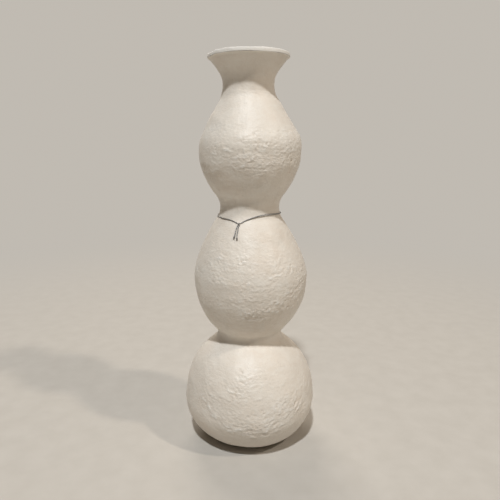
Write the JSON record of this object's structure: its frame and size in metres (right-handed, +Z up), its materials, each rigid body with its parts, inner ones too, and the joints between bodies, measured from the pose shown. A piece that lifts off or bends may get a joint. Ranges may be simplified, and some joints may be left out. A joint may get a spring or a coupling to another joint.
{
  "type": "gourd vase",
  "caption": "Tall hollow vase of stacked rounded gourd forms with pinched waists and a flared open mouth, tied with a thin knotted cord; stands on a flat foot and holds stems.",
  "frame": {"origin": "on the upright axis, at the underside of the foot", "axes": "+Z up along the vase's axis, -Y towards the front, where the cord is knotted, +X to the right seen from the front"},
  "size_m": [0.1794, 0.1794, 0.508],
  "materials": {
    "fired_clay": "matte cream slip over coarse hand-built clay, wrinkled and pitted",
    "joining_clay": "matte cream slip, smoothed by hand",
    "cord": "thin silver-grey twisted cord",
    "cord_tip": "small dark crimped sleeve"
  },
  "bodies": {
    "root": {"base_slab": "fired_clay", "lower_gourd": "fired_clay", "lower_waist_band": "joining_clay", "middle_gourd": "fired_clay", "upper_waist_band": "joining_clay", "upper_gourd": "fired_clay", "neck_band": "joining_clay", "flared_collar": "fired_clay", "tie_cord": "cord", "tie_knot": "cord", "left_tail": "cord", "left_tip": "cord_tip", "right_tail": "cord", "right_tip": "cord_tip"}
  },
  "joints": []
}
